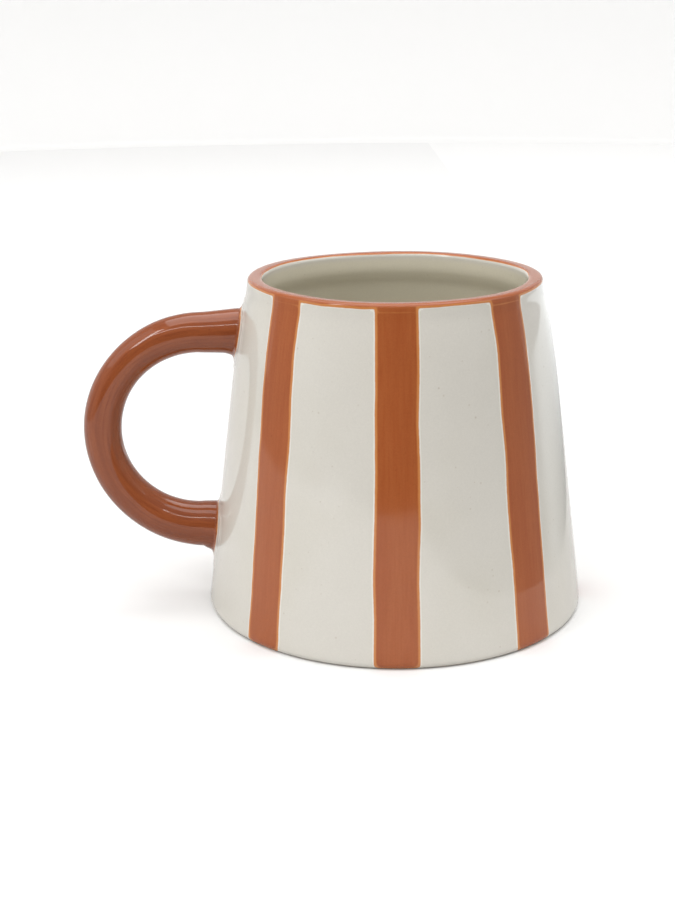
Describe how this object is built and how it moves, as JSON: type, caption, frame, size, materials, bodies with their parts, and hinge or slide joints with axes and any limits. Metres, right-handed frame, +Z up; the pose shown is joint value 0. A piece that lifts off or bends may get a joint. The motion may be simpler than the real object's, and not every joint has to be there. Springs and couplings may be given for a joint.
{
  "type": "ceramic mug",
  "caption": "Wide-based tapered ceramic mug with a round C-shaped rod handle, a coloured lip and painted vertical stripes.",
  "frame": {"origin": "on the cup's turning axis, under the base, 0.7 mm below the base recess and level with the foot that stands on the table", "axes": "+Z up along the cup's axis, -X from the axis towards the handle, +Y completes the right-handed set"},
  "size_m": [0.128, 0.0972, 0.085],
  "materials": {
    "cream_glaze": "glossy warm off-white glaze over stoneware",
    "terracotta_glaze": "glossy terracotta underglaze paint under clear glaze",
    "joint_slip": "cream-glazed clay slip squeezed out at the handle's ends"
  },
  "bodies": {
    "root": {"cup_body": "cream_glaze", "handle": "terracotta_glaze", "upper_joint_slip": "joint_slip", "lower_joint_slip": "joint_slip", "rim_band": "terracotta_glaze", "stripe_1": "terracotta_glaze", "stripe_2": "terracotta_glaze", "stripe_3": "terracotta_glaze", "stripe_4": "terracotta_glaze", "stripe_5": "terracotta_glaze", "stripe_6": "terracotta_glaze", "stripe_7": "terracotta_glaze"}
  },
  "joints": []
}
